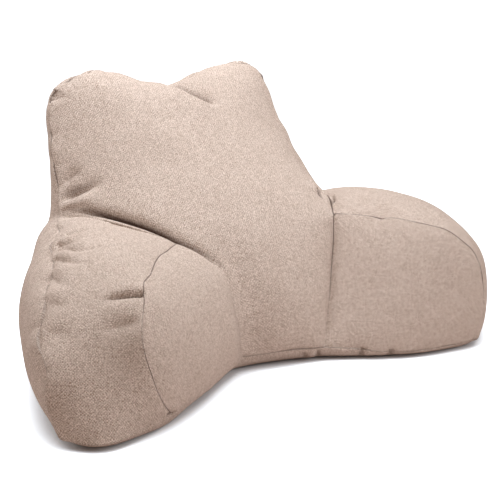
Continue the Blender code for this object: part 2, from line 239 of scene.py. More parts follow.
def fillOut(bm):
    # the cover stretched between its seams, pushed out by the filling, and laid flat underneath
    bm.verts.index_update()
    layer = bm.faces.layers.int["cloth"]
    around = [{face[layer] for face in vert.link_faces} for vert in bm.verts]
    clothAt = np.array([min(found) for found in around])
    onSeam = np.array([len(found) > 1 for found in around])
    pairs = np.array([[vert.index for vert in edge.verts] for edge in bm.edges])

    points = relaxed(np.array([vert.co for vert in bm.verts]), pairs, ~onSeam, filling["filmSteps"])
    blown = relaxed(np.zeros((len(points), 1)), pairs, ~onSeam, filling["filmSteps"], source=1.0)[:, 0]
    push = np.zeros(len(points))
    for cloth, panel in fullness.items():
        own = ~onSeam & (clothAt == cloths.index(cloth))
        push[own] = panel["height"] * (blown[own] / blown[own].max()) ** panel["shape"]
    for vert, point in zip(bm.verts, points):
        vert.co = Vector(point)
    bm.normal_update()
    facing = np.array([vert.normal for vert in bm.verts])
    normals = unit(relaxed(facing, pairs, np.full(len(facing), True), filling["normalBlend"]))
    points += normals * push[:, None]
    lift = np.zeros(len(points))
    for cloth, middle, reach, height in filling["swellings"]:
        off = ((points - np.array(middle)) / np.array(reach)) ** 2
        lift += (~onSeam & (clothAt == cloths.index(cloth))) * height * np.exp(-off.sum(axis=1))
    points += normals * lift[:, None]

    base = ~onSeam & (clothAt == cloths.index("base"))
    points[:, 2] = np.maximum(points[:, 2], 0)
    points[base, 2] = 0
    for vert in bm.verts:
        others = [edge.other_vert(vert).index for edge in vert.link_edges]
        hems = [other for other in others if onSeam[other]]
        if base[vert.index] and hems:
            hem = points[hems].mean(axis=0) * (1, 1, 0)
            inward = points[vert.index] - hem
            off = np.linalg.norm(hem - np.array(filling["sagMiddle"])) / filling["sagReach"]
            roll = filling["hemRoll"] - filling["sag"] * math.exp(-off**2)
            points[vert.index] = hem + inward * (roll / np.linalg.norm(inward))
    for vert, point in zip(bm.verts, points):
        vert.co = Vector(point)


# The way in which the warp runs on a cloth: up it, on those that aren't here
warpWays = {"base": (0, 1, 0), "stripLeft": (-0.55, -0.80, -0.2), "stripRight": (0.45, -0.85, -0.2)}


def unwrapPanels(piece):
    # flattens each panel on its own, then turns it so that the warp runs up it and one UV unit is a metre
    bpy.context.view_layer.objects.active = piece
    piece.select_set(True)
    bpy.ops.object.mode_set(mode="EDIT")
    bpy.ops.mesh.select_all(action="SELECT")
    bpy.ops.uv.unwrap(method="ANGLE_BASED", margin=0.001)
    bpy.ops.object.mode_set(mode="OBJECT")
    bm = bmesh.new()
    bm.from_mesh(piece.data)
    flat, layer = bm.loops.layers.uv.active, bm.faces.layers.int["cloth"]
    for number, cloth in enumerate(cloths):
        faces = [face for face in bm.faces if face[layer] == number]
        loops = [loop for face in faces for loop in face.loops]
        uv = np.array([loop[flat].uv for loop in loops])
        places = np.array([loop.vert.co for loop in loops])
        across = np.c_[uv, np.ones(len(uv))]
        spread = np.linalg.lstsq(across, places, rcond=None)[0][:2]
        warp = spread @ np.array(warpWays.get(cloth, (0, 0, 1)), float)
        turn = math.atan2(warp[0], warp[1])
        corners = [[Vector((*loop[flat].uv, 0)) for loop in face.loops] for face in faces]
        flatArea = sum((c[2] - c[0]).cross(c[3] - c[1]).length / 2 for c in corners)
        size = math.sqrt(sum(face.calc_area() for face in faces) / flatArea)
        spin = size * np.array([[math.cos(turn), math.sin(turn)], [-math.sin(turn), math.cos(turn)]])
        for loop, place in zip(loops, uv @ spin + number):  # apart, so that no two have the same threads
            loop[flat].uv = place
    bm.to_mesh(piece.data)
    bm.free()


def applyModifiers(piece):
    shape = bpy.data.meshes.new_from_object(piece.evaluated_get(bpy.context.evaluated_depsgraph_get()))
    piece.modifiers.clear()
    piece.data = shape


def subdivide(piece, levels):
    finer = piece.modifiers.new("Subdivision", "SUBSURF")
    finer.levels = finer.render_levels = levels
    applyModifiers(piece)


def pointsOf(piece):
    flat = np.zeros(len(piece.data.vertices) * 3)
    piece.data.vertices.foreach_get("co", flat)
    return flat.reshape(-1, 3)


def setPoints(piece, points):
    piece.data.vertices.foreach_set("co", points.ravel())
    piece.data.update()


def edgePairs(piece):
    flat = np.zeros(len(piece.data.edges) * 2, int)
    piece.data.edges.foreach_get("vertices", flat)
    return flat.reshape(-1, 2)


def normalsOf(piece, blend):
    # the ways in which the points face, evened out over their neighbours
    flat = np.zeros(len(piece.data.vertices) * 3)
    piece.data.vertex_normals.foreach_get("vector", flat)
    normals = flat.reshape(-1, 3)
    return unit(relaxed(normals, edgePairs(piece), np.full(len(normals), True), blend))


def clothOfPoints(piece):
    # each point's own cloth, and whether it lies on a seam between two
    faceCloth = np.zeros(len(piece.data.polygons), int)
    piece.data.attributes["cloth"].data.foreach_get("value", faceCloth)
    loopVert = np.zeros(len(piece.data.loops), int)
    piece.data.loops.foreach_get("vertex_index", loopVert)
    loopFace = np.repeat(np.arange(len(faceCloth)), [face.loop_total for face in piece.data.polygons])
    low = np.full(len(piece.data.vertices), len(cloths))
    high = np.full(len(piece.data.vertices), -1)
    np.minimum.at(low, loopVert, faceCloth[loopFace])
    np.maximum.at(high, loopVert, faceCloth[loopFace])
    return low, low != high


print("cover: laying out seams and filling the panels")
seams = layOutSeams()
bm = sewPanels(seams)
fillOut(bm)
coverMesh = bpy.data.meshes.new("linenCover")
bm.to_mesh(coverMesh)
bm.free()
cover = bpy.data.objects.new("linenCover", coverMesh)
scene.collection.objects.link(cover)
rough = pointsOf(cover)
centring = -(rough.min(axis=0) + rough.max(axis=0)) / 2 * (1, 1, 0)
unwrapPanels(cover)
subdivide(cover, 1)
print("cover: faces before the simulation", len(cover.data.polygons), "centring", centring.round(4))

# Blender's cloth, with pressure inside it, finds the small, uneven wrinkles that a stuffed cover has
clothSim = {
    "frames": 20,
    "quality": 5,
    "mass": 0.05,
    "pressure": 12.0,
    "stretchStiffness": 15.0,
    "shearStiffness": 5.0,
    "bendStiffness": 0.3,
    "cap": 0.012,         # no point may move further than this
    "smoothing": 25,      # steps that part the wrinkles from the swelling of the whole panel
    "keepSwelling": 0.4,  # share of the swelling kept
}


def simulateCover(piece):
    before = pointsOf(piece)
    ownCloth, onSeam = clothOfPoints(piece)
    held = onSeam | (ownCloth == cloths.index("base"))
    piece.vertex_groups.new(name="held").add(np.flatnonzero(held).tolist(), 1.0, "REPLACE")
    sim = piece.modifiers.new("Cloth", "CLOTH")
    fabric = sim.settings
    fabric.quality = clothSim["quality"]
    fabric.mass = clothSim["mass"]
    fabric.tension_stiffness = fabric.compression_stiffness = clothSim["stretchStiffness"]
    fabric.shear_stiffness = clothSim["shearStiffness"]
    fabric.bending_stiffness = clothSim["bendStiffness"]
    fabric.use_pressure = True
    fabric.uniform_pressure_force = clothSim["pressure"]
    fabric.effector_weights.gravity = 0
    fabric.vertex_group_mass = "held"
    fabric.pin_stiffness = 1
    fabric.vertex_group_shrink = "held"  # shrinks nothing, but some wrinkles would differ without it
    sim.collision_settings.use_collision = False
    sim.point_cache.frame_end = clothSim["frames"]
    for number in range(1, clothSim["frames"] + 1):
        scene.frame_set(number)
    applyModifiers(piece)
    scene.frame_set(1)

    moved = pointsOf(piece) - before
    far = np.linalg.norm(moved, axis=1, keepdims=True)
    moved *= np.minimum(1, clothSim["cap"] / np.maximum(far, 1e-9))
    swelling = relaxed(moved, edgePairs(piece), ~held, clothSim["smoothing"])
    points = before + (moved - swelling) + clothSim["keepSwelling"] * swelling
    points[:, 2] = np.maximum(points[:, 2], 0)
    setPoints(piece, points)
    print("cover: cloth moved up to", round(float(far.max()), 4), "mean", round(float(far.mean()), 4))


softValley = {
    "reach": 0.060,    # each side of the left arm's root
    "steps": 120,
    "share": 0.85,
    "endsAt": 0.70,    # share of the seam, from the floor up, where the deep crease takes over
    "fadesOver": 0.35,
    "lowest": 0.03,    # the hem below this height stays as it is
    "pathCells": 60,
}


def easeSoftJoin(piece):
    # low down, the left arm runs into the front in one soft valley
    points = pointsOf(piece)
    path = evenly(smoothCurve(seams["rootFrontLeft"]), softValley["pathCells"])
    away = np.linalg.norm(points[:, None] - path[None], axis=2)
    up = away.argmin(axis=1) / softValley["pathCells"]
    away = away.min(axis=1)
    fade = np.clip((softValley["endsAt"] - up) / softValley["fadesOver"], 0, 1)
    share = np.clip(1 - away / softValley["reach"], 0, 1) ** 2
    share = share * (3 - 2 * np.sqrt(share)) * fade
    own = np.isin(clothOfPoints(piece)[0], [cloths.index(name) for name in softJoin])
    own &= (points[:, 2] > softValley["lowest"]) & (away < softValley["reach"])
    film = relaxed(points, edgePairs(piece), own, softValley["steps"])
    setPoints(piece, points + (softValley["share"] * share)[:, None] * (film - points))


easeSoftJoin(cover)
simulateCover(cover)
subdivide(cover, 1)

# How the seam between two cloths lies: how deep it draws them in, how high its gathers stand, how far it
# wanders from its line, how dark the painted shade along it is, a thin line standing in for the shadow in
# its gap, the share of that left at the floor, and the height at which it starts to fade
plainSeam = {"draw": 0.0, "gather": 0.0, "wander": 0.0, "line": 0.0, "low": 1.0, "fade": 1.0}
seamLook = {
    "front back": {"draw": 0.0026, "gather": 0.0032, "wander": 0.0025, "line": 0.8, "low": 0.0, "fade": 0.36},
    "front base": {"draw": 0.0025, "gather": 0.0024, "wander": 0.0020, "line": 0.6},
    "front innerLeft": {},
    "front innerRight": {"draw": 0.0020, "gather": 0.0002, "line": 0.9, "low": 0.05, "fade": 0.23},
    "front stripLeft": {"gather": 0.0010},
    "front stripRight": {"draw": 0.0035, "gather": 0.0005, "line": 1.0},
    "back base": {"draw": 0.0025, "gather": 0.0024, "wander": 0.0020, "line": 0.5},
    "back stripLeft": {
        "draw": 0.0012, "gather": 0.0036, "wander": 0.0060, "line": 0.45, "low": 0.0, "fade": 0.20},
    "back stripRight": {"draw": 0.0030, "gather": 0.0042, "wander": 0.0040, "line": 0.8},
    "base innerLeft": {"gather": 0.0010, "wander": 0.0015, "line": 0.1},
    "base innerRight": {"draw": 0.0015, "gather": 0.0020, "wander": 0.0015, "line": 0.5},
    "base stripLeft": {"gather": 0.0010, "wander": 0.0015, "line": 0.1},
    "base stripRight": {"draw": 0.0015, "gather": 0.0020, "wander": 0.0015, "line": 0.5},
    "innerLeft stripLeft": {
        "draw": 0.0006, "gather": 0.0006, "wander": 0.0025, "line": 1.0, "low": 0.8, "fade": 0.16},
    "innerRight stripRight": {"gather": 0.0012, "wander": 0.0020, "line": 1.0, "low": 0.0, "fade": 0.13},
}
sewing = {
    "normalBlend": 3,
    "drawWidth": 0.0035,       # how far from a seam its draw reaches
    "gatherWave": 0.048,       # length of two gathers, along their seam
    "gatherReach": 0.018,      # how far from its seam a gather dies out
    "gatherCrest": 2.6,        # how far the cloth stands up in a gather, for a noise of 1,
    "gatherShape": 0.8,        # how blunt the crest is,
    "gatherTrough": 0.8,       # and how far the cloth lies down between two
    "sidesApart": 0.7,         # the two sides of a seam gather each in its own way
    "wanderWave": 0.055,
    "wanderReach": 0.030,
    "wanderGain": 2.0,         # because the noise seldom gets up to a half
    "wanderSeed": (0, 9, 0),   # places in the noise
    "lumpSeed": (4, 0, 0),
    "lumpWave": 0.085,         # the filling's own soft lumps
    "lumpHeight": 0.0022,
}


def splitRowsAtSeams(piece):
    # three narrow rows of faces where there was one beside each seam, so that the seam can be drawn in
    bm = bmesh.new()
    bm.from_mesh(piece.data)
    layer = bm.faces.layers.int["cloth"]
    sewn = set()
    for edge in bm.edges:
        if len({face[layer] for face in edge.link_faces}) > 1:
            sewn.update(edge.verts)
    crossing = [edge for edge in bm.edges if len(sewn.intersection(edge.verts)) == 1]
    bmesh.ops.subdivide_edges(bm, edges=crossing, cuts=2, use_grid_fill=True)
    bm.to_mesh(piece.data)
    bm.free()


def findSeams(piece):
    # points all along the seams: each one's place, its two cloths, and the way from the one to the other
    bm = bmesh.new()
    bm.from_mesh(piece.data)
    layer = bm.faces.layers.int["cloth"]
    found = []
    for edge in bm.edges:
        low, high = sorted(edge.link_faces, key=lambda face: face[layer])
        if low[layer] != high[layer]:
            run = (edge.verts[1].co - edge.verts[0].co).normalized()
            way = high.calc_center_median() - low.calc_center_median()
            way = (way - run * way.dot(run)).normalized()
            pair = cloths[low[layer]] + " " + cloths[high[layer]]
            for t in (0.0, 0.25, 0.5, 0.75):
                found.append((edge.verts[0].co.lerp(edge.verts[1].co, t), pair, way))
    bm.free()
    return found


def sewSeams(piece):
    # draws the cloth in at the seams, gathers it there, and notes each point's seam distance and painted
    # shade
    found = findSeams(piece)
    tree = KDTree(len(found))
    for number, (place, *_) in enumerate(found):
        tree.insert(place, number)
    tree.balance()
    points, normals = pointsOf(piece), normalsOf(piece, sewing["normalBlend"])
    ownCloth, onSeam = clothOfPoints(piece)
    flatBase = (ownCloth == cloths.index("base")) & ~onSeam
    lumpSeed, wanderSeed = Vector(sewing["lumpSeed"]), Vector(sewing["wanderSeed"])
    distance, line = np.zeros(len(points)), np.zeros(len(points))
    moved = np.zeros_like(points)
    for number, point in enumerate(points):
        place, nearest, off = tree.find(point)
        _, pair, way = found[nearest]
        look = {**plainSeam, **seamLook[pair]}
        height = min(place.z / look["fade"], 1)
        distance[number] = off
        # the painted shade along the seam, standing in for its gap's shadow, weaker towards the floor
        line[number] = look["line"] * (look["low"] + (1 - look["low"]) * height**2 * (3 - 2 * height))
        if flatBase[number]:
            continue
        ownSide = Vector((0, 0, sewing["sidesApart"] * ownCloth[number]))
        crest = abs(noise.noise(place / sewing["gatherWave"] + ownSide)) ** sewing["gatherShape"]
        gather = look["gather"] * (sewing["gatherCrest"] * crest - sewing["gatherTrough"])
        gather *= math.exp(-off / sewing["gatherReach"])
        draw = look["draw"] * math.exp(-off / sewing["drawWidth"])
        lump = sewing["lumpHeight"] * noise.noise(Vector(point) / sewing["lumpWave"] + lumpSeed)
        wander = look["wander"] * noise.noise(place / sewing["wanderWave"] + wanderSeed)
        wander *= sewing["wanderGain"] * math.exp(-(off / sewing["wanderReach"]) ** 2)
        moved[number] = normals[number] * (gather - draw + lump) + np.array(way) * wander
    points += moved
    points[:, 2] = np.maximum(points[:, 2], 0)
    setPoints(piece, points)
    # the distance to the seam, and the strength of the painted shade that stands in for the shadow in its gap
    for name, values in (("seamDistance", distance), ("seamPaintedShade", line)):
        piece.data.attributes.new(name, "FLOAT", "POINT").data.foreach_set("value", values)


# The cover's own creases, in metres from the drafting mark. Each is a valley along its path. Its lip is the
# cloth that stands up beside it and leans over it by "over": on the path's left where side is 1, seen from
# outside, and on its right where side is -1. The ends are the shares of the path in which it fades in and
# out, and "shade" is how dark the shade painted into its valley is, standing in for the shadow there.
plainFold = {"over": 0.0, "side": 1, "shade": 0.0}
folds = [
    {   # deep crease between the backrest and the left arm
        "path": [(-0.251, 0.050, 0.225), (-0.237, 0.031, 0.227), (-0.214, -0.002, 0.227),
                 (-0.179, -0.053, 0.216), (-0.157, -0.085, 0.204), (-0.139, -0.110, 0.191),
                 (-0.106, -0.132, 0.164), (-0.084, -0.144, 0.137)],
        "width": 0.0080, "depth": 0.0200, "lip": 0.0050, "over": 0.0050, "side": -1, "ends": (0.30, 0.45),
        "shade": 1.0},
    {   # pinch below the dip in the top edge
        "path": [(-0.020, 0.130, 0.390), (0.004, 0.119, 0.384), (0.021, 0.096, 0.375), (0.041, 0.081, 0.364),
                 (0.060, 0.076, 0.360)],
        "width": 0.0140, "depth": 0.0170, "lip": 0.0100, "over": 0.0020, "side": -1, "ends": (0.50, 0.25),
        "shade": 0.35},
    {   # pucker at the left arm's brow, and a softer one below it
        "path": [(-0.305, -0.262, 0.179), (-0.314, -0.256, 0.178), (-0.342, -0.238, 0.173),
                 (-0.362, -0.229, 0.167)],
        "width": 0.0055, "depth": 0.0110, "lip": 0.0040, "over": 0.0030, "side": -1, "ends": (0.12, 0.70),
        "shade": 0.5},
    {
        "path": [(-0.326, -0.290, 0.156), (-0.352, -0.271, 0.147), (-0.379, -0.256, 0.138)],
        "width": 0.0130, "depth": 0.0050, "lip": 0.0030, "side": -1, "ends": (0.35, 0.60)},
    {   # folds that fan out over the front from the left shoulder
        "path": [(-0.246, 0.070, 0.250), (-0.231, 0.064, 0.270), (-0.206, 0.054, 0.289)],
        "width": 0.0140, "depth": 0.0080, "lip": 0.0040, "side": -1, "ends": (0.60, 0.40)},
    {
        "path": [(-0.250, 0.062, 0.238), (-0.239, 0.053, 0.245), (-0.217, 0.037, 0.257),
                 (-0.182, 0.023, 0.272)],
        "width": 0.0130, "depth": 0.0120, "lip": 0.0090, "side": -1, "ends": (0.35, 0.60), "shade": 0.3},
    {
        "path": [(-0.250, 0.052, 0.228), (-0.231, 0.031, 0.235), (-0.214, 0.012, 0.240)],
        "width": 0.0070, "depth": 0.0050, "lip": 0.0020, "ends": (0.35, 0.60)},
    {   # gathers that run over the left arm's strip from its outer seam
        "path": [(-0.256, 0.037, 0.220), (-0.239, 0.022, 0.219), (-0.226, 0.002, 0.219),
                 (-0.212, -0.022, 0.216)],
        "width": 0.0060, "depth": 0.0045, "lip": 0.0010, "ends": (0.10, 0.50)},
    {
        "path": [(-0.295, -0.040, 0.214), (-0.279, -0.049, 0.219), (-0.258, -0.056, 0.221)],
        "width": 0.0060, "depth": 0.0045, "lip": 0.0010, "ends": (0.10, 0.60)},
    {
        "path": [(-0.314, -0.044, 0.205), (-0.307, -0.064, 0.212), (-0.290, -0.083, 0.216)],
        "width": 0.0080, "depth": 0.0070, "lip": 0.0030, "ends": (0.05, 0.60), "shade": 0.2},
    {
        "path": [(-0.319, -0.069, 0.207), (-0.315, -0.116, 0.209), (-0.289, -0.138, 0.213)],
        "width": 0.0090, "depth": 0.0060, "lip": 0.0020, "ends": (0.05, 0.60)},
    {
        "path": [(-0.339, -0.087, 0.196), (-0.338, -0.141, 0.201), (-0.321, -0.164, 0.203)],
        "width": 0.0090, "depth": 0.0060, "lip": 0.0020, "ends": (0.05, 0.60)},
    {
        "path": [(-0.367, -0.112, 0.184), (-0.375, -0.165, 0.185), (-0.364, -0.196, 0.181)],
        "width": 0.0100, "depth": 0.0045, "lip": 0.0010, "ends": (0.15, 0.60)},
    {
        "path": [(-0.404, -0.172, 0.167), (-0.398, -0.192, 0.167), (-0.385, -0.211, 0.165)],
        "width": 0.0120, "depth": 0.0035, "lip": 0.0010, "ends": (0.30, 0.60)},
    {
        "path": [(-0.426, -0.209, 0.140), (-0.413, -0.229, 0.139), (-0.394, -0.245, 0.138)],
        "width": 0.0120, "depth": 0.0025, "lip": 0.0010, "ends": (0.30, 0.60)},
    {   # notch in the side seam at the left ear
        "path": [(-0.196, 0.118, 0.385), (-0.209, 0.135, 0.381), (-0.216, 0.150, 0.374)],
        "width": 0.0070, "depth": 0.0040, "lip": 0.0020, "ends": (0.50, 0.40)},
    {   # wrinkles on the right arm
        "path": [(0.218, -0.140, 0.214), (0.200, -0.162, 0.205), (0.181, -0.170, 0.189),
                 (0.161, -0.175, 0.169)],
        "width": 0.0120, "depth": 0.0040, "lip": 0.0025, "ends": (0.20, 0.60)},
    {
        "path": [(0.303, -0.150, 0.203), (0.286, -0.194, 0.195), (0.307, -0.207, 0.180)],
        "width": 0.0120, "depth": 0.0050, "lip": 0.0020, "ends": (0.20, 0.40)},
    {   # where the right arm's root starts, with a small loop of loose cloth
        "path": [(0.184, -0.022, 0.226), (0.177, -0.035, 0.225), (0.166, -0.051, 0.222),
                 (0.158, -0.066, 0.217)],
        "width": 0.0070, "depth": 0.0170, "lip": 0.0070, "side": -1, "ends": (0.20, 0.35), "shade": 1.0},
    {   # soft ridge down the front
        "path": [(-0.066, 0.059, 0.348), (-0.072, 0.024, 0.313), (-0.075, -0.006, 0.287)],
        "width": 0.0220, "depth": -0.0030, "lip": 0.0, "ends": (0.40, 0.40)},
    {   # puckers in the hem, across the front and at the left arm's toe
        "path": [(0.020, -0.188, 0.020), (0.023, -0.189, 0.010), (0.026, -0.189, 0.001)],
        "width": 0.0055, "depth": 0.0045, "lip": 0.0020, "ends": (0.40, 0.20), "shade": 0.2},
    {
        "path": [(0.046, -0.195, 0.022), (0.044, -0.195, 0.012), (0.045, -0.194, 0.001)],
        "width": 0.0050, "depth": 0.0055, "lip": 0.0020, "side": -1, "ends": (0.40, 0.20), "shade": 0.3},
    {
        "path": [(0.102, -0.226, 0.024), (0.104, -0.224, 0.012), (0.108, -0.218, 0.001)],
        "width": 0.0050, "depth": 0.0055, "lip": 0.0015, "ends": (0.40, 0.20), "shade": 0.4},
    {
        "path": [(0.137, -0.250, 0.020), (0.140, -0.246, 0.008), (0.144, -0.240, 0.001)],
        "width": 0.0050, "depth": 0.0055, "lip": 0.0015, "side": -1, "ends": (0.40, 0.20), "shade": 0.4},
    {
        "path": [(-0.296, -0.292, 0.022), (-0.286, -0.286, 0.019), (-0.277, -0.279, 0.022)],
        "width": 0.0045, "depth": 0.0060, "lip": 0.0020, "ends": (0.25, 0.40), "shade": 0.6},
]
pressing = {
    "steps": 80,          # places along a fold's path
    "normalBlend": 4,
    "reach": 6.0,         # how many of its widths a fold reaches to each side
    "valleyShape": 1.4,   # a sharp valley has a low value, and a round one a high one
    # where the painted shade lies in a fold: on the valley's slope that the lip doesn't hide
    "paintedShadeMiddle": 0.55,   # the dark inside is this many widths away from the path, across from the lip,
    "paintedShadeWidth": 0.45,    # and this many across
    "fineReach": 2.5,     # the faces are smaller for this many widths to each side,
    "fineMargin": 0.006,  # and this much further
}


def foldsAndPaths():
    for fold in folds:
        yield {**plainFold, **fold}, evenly(smoothCurve(fold["path"]), pressing["steps"])


def beside(points, path, reach):
    # the points within reach of a path, and the nearest place on it for each
    inBox = (points > path.min(axis=0) - reach) & (points < path.max(axis=0) + reach)
    near = np.flatnonzero(inBox.all(axis=1))
    away = np.linalg.norm(points[near][:, None] - path[None], axis=2)
    close = away.min(axis=1) < reach
    return near[close], away.argmin(axis=1)[close]


def splitFacesAtFolds(piece):
    # faces half as long beside the folds
    points = pointsOf(piece)
    fine = np.full(len(points), False)
    for fold, path in foldsAndPaths():
        near, _ = beside(points, path, pressing["fineReach"] * fold["width"] + pressing["fineMargin"])
        fine[near] = True
    bm = bmesh.new()
    bm.from_mesh(piece.data)
    edges = [edge for edge in bm.edges if all(fine[vert.index] for vert in edge.verts)]
    bmesh.ops.subdivide_edges(bm, edges=edges, cuts=1, use_grid_fill=True)
    bm.to_mesh(piece.data)
    bm.free()


def pressFolds(piece):
    points, normals = pointsOf(piece), normalsOf(piece, pressing["normalBlend"])
    moved = np.zeros_like(points)
    shade = np.zeros(len(points))
    for fold, path in foldsAndPaths():
        near, nearest = beside(points, path, pressing["reach"] * fold["width"])
        run = unit(np.gradient(path, axis=0))[nearest]
        gap = points[near] - path[nearest]
        left = unit(np.cross(normals[near], run))
        x = (gap * left).sum(axis=1) / fold["width"]
        step = np.linalg.norm(path[1] - path[0])
        along = (nearest + (gap * run).sum(axis=1) / step) / pressing["steps"]
        fadeIn = np.clip(along / fold["ends"][0], 0, 1)
        fadeOut = np.clip((1 - along) / fold["ends"][1], 0, 1)
        share = (fadeIn * fadeOut) ** 2 * (3 - 2 * fadeIn) * (3 - 2 * fadeOut)
        lip = np.maximum(x * fold["side"], 0)
        lip *= np.exp(1 - lip)
        up = fold["lip"] * lip - fold["depth"] * np.exp(-np.abs(x) ** pressing["valleyShape"])
        lean = -fold["side"] * fold["over"] * lip
        moved[near] += share[:, None] * (normals[near] * up[:, None] + left * lean[:, None])
        # painted shade on the valley's slope across from the lip, where the real shadow of the fold falls
        inside = np.exp(-((x + pressing["paintedShadeMiddle"] * fold["side"]) / pressing["paintedShadeWidth"]) ** 2)
        shade[near] = np.maximum(shade[near], fold["shade"] * share * inside)
    points += moved
    points[:, 2] = np.maximum(points[:, 2], 0)
    setPoints(piece, points)
    piece.data.attributes.new("foldPaintedShade", "FLOAT", "POINT").data.foreach_set("value", shade)


splitRowsAtSeams(cover)
splitFacesAtFolds(cover)
sewSeams(cover)
pressFolds(cover)
print("cover: seams and folds are in")
setPoints(cover, pointsOf(cover) + centring)
cover.data.shade_smooth()
triangles = sum(len(face.vertices) - 2 for face in cover.data.polygons)
print("cover: faces", len(cover.data.polygons), "triangles", triangles)


def linearOf(hexColour):
    # an sRGB hex colour as the linear one that a shader takes
    values = [int(hexColour[i:i + 2], 16) / 255 for i in (0, 2, 4)]
    return [v / 12.92 if v <= 0.04045 else ((v + 0.055) / 1.055) ** 2.4 for v in values] + [1]


def addNode(tree, kind, settings=None, inputs=None, links=None):
    node = tree.nodes.new("ShaderNode" + kind)
    for name, value in (settings or {}).items():
        setattr(node, name, value)
    for name, value in (inputs or {}).items():
        node.inputs[name].default_value = value
    for name, source in (links or {}).items():
        tree.links.new(source, node.inputs[name])
    return node


# Upholstery linen, woven plain from unevenly spun threads, some pinker and some greyer than the rest. It
# gives the eye a matt beige with a salt-and-pepper speckle, short streaks along its threads, and a pale bloom
# where it turns away. Lengths are in millimetres.
linenCloth = {
    "thread": 2.0,         # from thread to thread: drawn coarse, because the real 1.1 is lost between pixels
    "stray": 2.5,          # how many threads' widths a thread strays from straight,
    "strayOver": 20.0,     # and the length it strays over
    "slub": 18.0,          # along a thread, before its tint changes
    "fleck": 1.1,          # a real thread's own speck of colour where it comes up
    "blotch": 60.0,        # across a patch that is a little lighter or darker
    "fuzz": 0.6,           # across a tuft of loose fibres
    "fuzzShare": 0.5,      # its height, next to a thread's
    "relief": 0.75,        # how high a thread stands where it crosses over
    "dark": "94806f",
    "middle": "cfc5bd",
    "light": "fcf3ec",
    "pink": "d6baaf",
    "pinkShare": 0.35,
    "weftShare": 0.28,     # how much paler the weft is than the warp
    "slubShare": 0.25,
    "fleckShare": 0.75,
    "blotchShare": 0.10,
    "warpApart": 7.3,      # how far apart in the noise two neighbouring threads take their tints
    "weftApart": 9.1,
    "dullest": 0.97,       # roughness, on the greyest threads and on the pinkest
    "smoothest": 0.82,
    "specular": 0.25,
    "sheen": 0.15,
    "sheenRoughness": 0.5,
    "sheenTint": "fff3ea",
    # painted shade, in the seams' narrow gaps and inside closed folds: its colour, its width and how dark it
    # gets
    "paintedShadeColour": "3c241b",
    "paintedSeamShadeWidth": 1.3,      # each side of the seam
    "paintedSeamShadeDark": 0.9,
}


